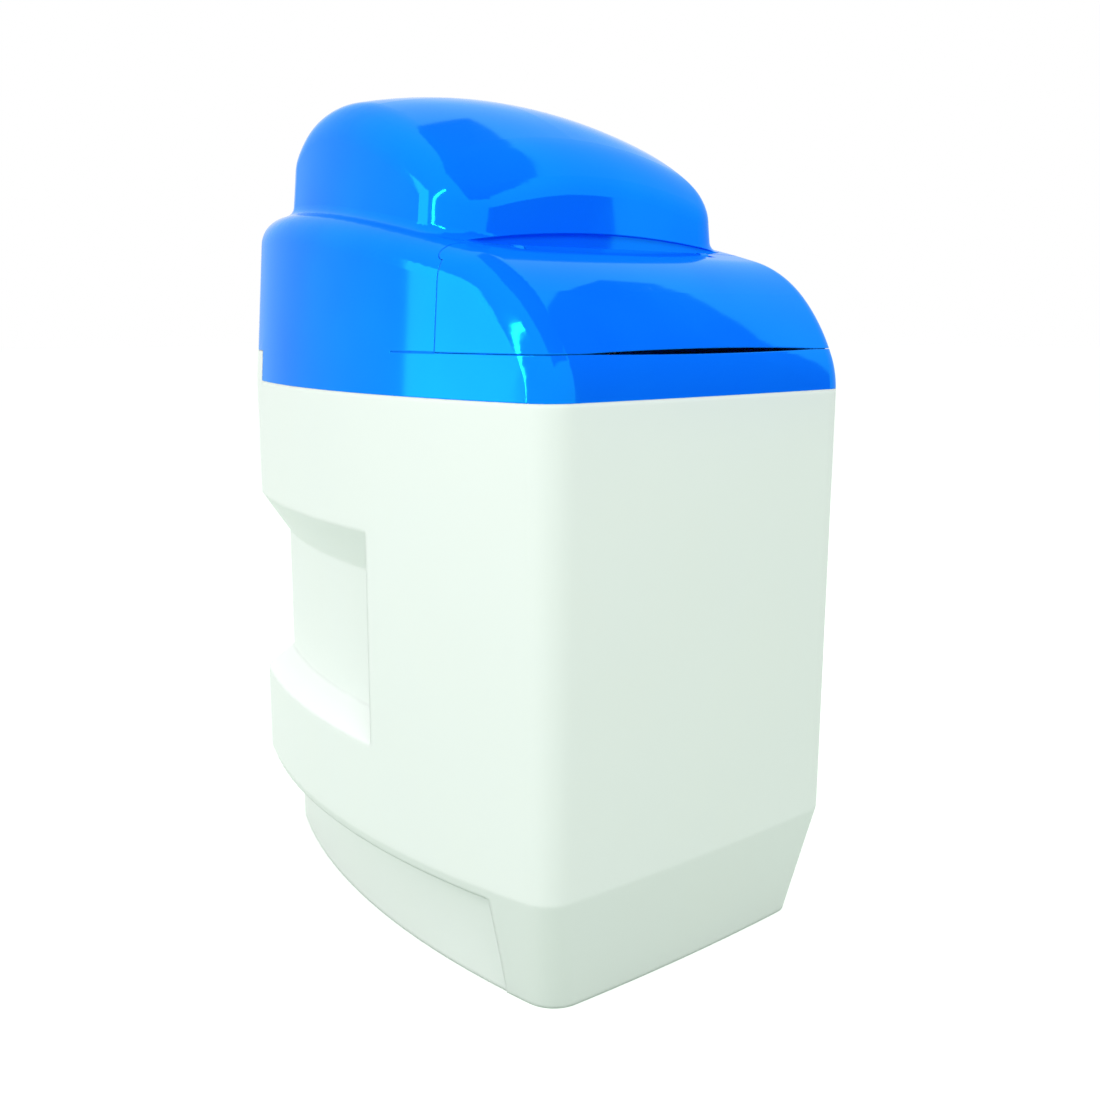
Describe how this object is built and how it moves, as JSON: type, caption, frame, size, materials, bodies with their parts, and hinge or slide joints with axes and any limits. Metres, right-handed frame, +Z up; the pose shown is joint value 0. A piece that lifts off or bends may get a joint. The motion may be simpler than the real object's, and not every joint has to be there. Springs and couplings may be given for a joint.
{
  "type": "water softener",
  "caption": "Compact cabinet water softener: white salt cabinet, lift-off blue hood with hinged salt lid, resin vessel, motor valve, brine well and bypass.",
  "frame": {"origin": "centre of the cabinet's bounding box, at floor level", "axes": "+Z up, front of the cabinet towards -Y, +X to the right when seen from the rear looking forward is -X; width along X, depth along Y"},
  "size_m": [0.34, 0.47, 0.6522],
  "materials": {
    "cabinet_white": "semi-gloss polyethylene, faint mottling",
    "hood_blue": "high gloss",
    "steel_pin": "turned",
    "well_white": "satin",
    "cap_blue": "satin",
    "float_plastic": "satin",
    "fitting_black": "satin",
    "fitting_white": "satin",
    "tube_white": "smooth extruded",
    "vessel_wrap": "wound glass fibre, semi-matt",
    "boot_black": "matt",
    "resin_amber": "fine beads",
    "riser_grey": "smooth extruded",
    "seal_black": "matt",
    "valve_black": "glass filled, satin",
    "piston_grey": "smooth",
    "gear_white": "acetal, satin",
    "motor_steel": "drawn",
    "board_green": "solder mask",
    "display_dark": "gloss",
    "window_clear": "clear moulding",
    "cover_grey": "fine texture",
    "button_grey": "matt",
    "bypass_grey": "glass filled, satin",
    "knob_red": "satin",
    "tail_brass": "machined"
  },
  "bodies": {
    "body": {"cabinet": "cabinet_white", "brine_well": "well_white", "pickup_tube": "fitting_white", "air_check": "fitting_white", "brine_valve_body": "fitting_black", "brine_valve_elbow": "fitting_black", "brine_tube": "tube_white", "brine_nuts": "fitting_white", "vessel": "vessel_wrap", "vessel_boot": "boot_black", "resin_bed": "resin_amber", "riser_tube": "riser_grey", "lower_strainer": "fitting_white", "upper_strainer": "fitting_white", "neck_seal": "seal_black", "valve_body": "valve_black", "seal_stack": "seal_black", "bore_cap": "fitting_black", "injector_cap": "fitting_black", "drain_elbow": "fitting_white", "brine_port_elbow": "fitting_black", "drive_housing": "fitting_black", "drive_motor": "motor_steel", "circuit_board": "board_green", "display_module": "display_dark", "control_cover": "cover_grey", "display_window": "window_clear", "power_inlet": "fitting_black", "meter_cage": "fitting_white", "meter_sensor": "fitting_black", "bypass_body": "bypass_grey", "bypass_nuts": "fitting_black", "port_tails": "tail_brass"},
    "hood_body": {"hood": "hood_blue", "hinge_pins": "steel_pin"},
    "lid_body": {"salt_lid": "hood_blue"},
    "well_cap_body": {"brine_well_cap": "cap_blue"},
    "float_body": {"float": "float_plastic", "float_rod": "fitting_white"},
    "piston_body": {"piston": "piston_grey"},
    "main_gear_body": {"main_drive_gear": "gear_white"},
    "reduction_gear_body": {"reduction_gear": "gear_white"},
    "pinion_body": {"motor_pinion": "gear_white"},
    "turbine_body": {"meter_turbine": "cap_blue"},
    "button_1_body": {"button_1": "button_grey"},
    "button_2_body": {"button_2": "button_grey"},
    "button_3_body": {"button_3": "button_grey"},
    "button_4_body": {"button_4": "button_grey"},
    "bypass_outlet_body": {"bypass_rotor_outlet": "fitting_white", "bypass_knob_outlet": "knob_red"},
    "bypass_inlet_body": {"bypass_rotor_inlet": "fitting_white", "bypass_knob_inlet": "knob_red"}
  },
  "joints": [
    {"name": "hood_lift", "type": "slide", "parent": "body", "child": "hood_body", "axis": [0, 0, 1], "range_m": [0, 0.25]},
    {"name": "salt_lid_hinge", "type": "hinge", "parent": "hood_body", "child": "lid_body", "pos_m": [0, -0.131, 0.5215], "axis": [-1, 0, 0], "range_deg": [0, 70]},
    {"name": "well_cap_lift", "type": "slide", "parent": "body", "child": "well_cap_body", "axis": [0, 0, 1], "range_m": [0, 0.06]},
    {"name": "float_rise", "type": "slide", "parent": "body", "child": "float_body", "axis": [0, 0, 1], "range_m": [0, 0.04]},
    {"name": "piston_stroke", "type": "slide", "parent": "body", "child": "piston_body", "axis": [0, 1, 0], "range_m": [0, 0.024]},
    {"name": "main_gear_turn", "type": "hinge", "parent": "body", "child": "main_gear_body", "pos_m": [0, 0, 0.52], "axis": [0, 1, 0], "range_deg": [0, 720]},
    {"name": "reduction_gear_turn", "type": "hinge", "parent": "body", "child": "reduction_gear_body", "pos_m": [0, 0, 0.562], "axis": [0, 1, 0], "range_deg": [-4320, 0]},
    {"name": "pinion_turn", "type": "hinge", "parent": "body", "child": "pinion_body", "pos_m": [0.024, 0, 0.562], "axis": [0, 1, 0], "range_deg": [0, 12960]},
    {"name": "turbine_turn", "type": "hinge", "parent": "body", "child": "turbine_body", "pos_m": [-0.038, 0.154, 0.505], "axis": [0, 1, 0], "continuous": true},
    {"name": "button_1_press", "type": "slide", "parent": "body", "child": "button_1_body", "axis": [0, 1, 0], "range_m": [0, 0.0015], "stiffness_N_per_m": 600},
    {"name": "button_2_press", "type": "slide", "parent": "body", "child": "button_2_body", "axis": [0, 1, 0], "range_m": [0, 0.0015], "stiffness_N_per_m": 600},
    {"name": "button_3_press", "type": "slide", "parent": "body", "child": "button_3_body", "axis": [0, 1, 0], "range_m": [0, 0.0015], "stiffness_N_per_m": 600},
    {"name": "button_4_press", "type": "slide", "parent": "body", "child": "button_4_body", "axis": [0, 1, 0], "range_m": [0, 0.0015], "stiffness_N_per_m": 600},
    {"name": "bypass_outlet_turn", "type": "hinge", "parent": "body", "child": "bypass_outlet_body", "pos_m": [-0.038, 0.195, 0.505], "axis": [0, 0, 1], "range_deg": [0, 90]},
    {"name": "bypass_inlet_turn", "type": "hinge", "parent": "body", "child": "bypass_inlet_body", "pos_m": [0.038, 0.195, 0.505], "axis": [0, 0, 1], "range_deg": [-90, 0]}
  ],
  "couplings": [
    {"joint": "piston_stroke", "follows": "main_gear_turn", "m_per_rad": 0.0019099},
    {"joint": "reduction_gear_turn", "follows": "main_gear_turn", "ratio": -6},
    {"joint": "pinion_turn", "follows": "main_gear_turn", "ratio": 18}
  ]
}
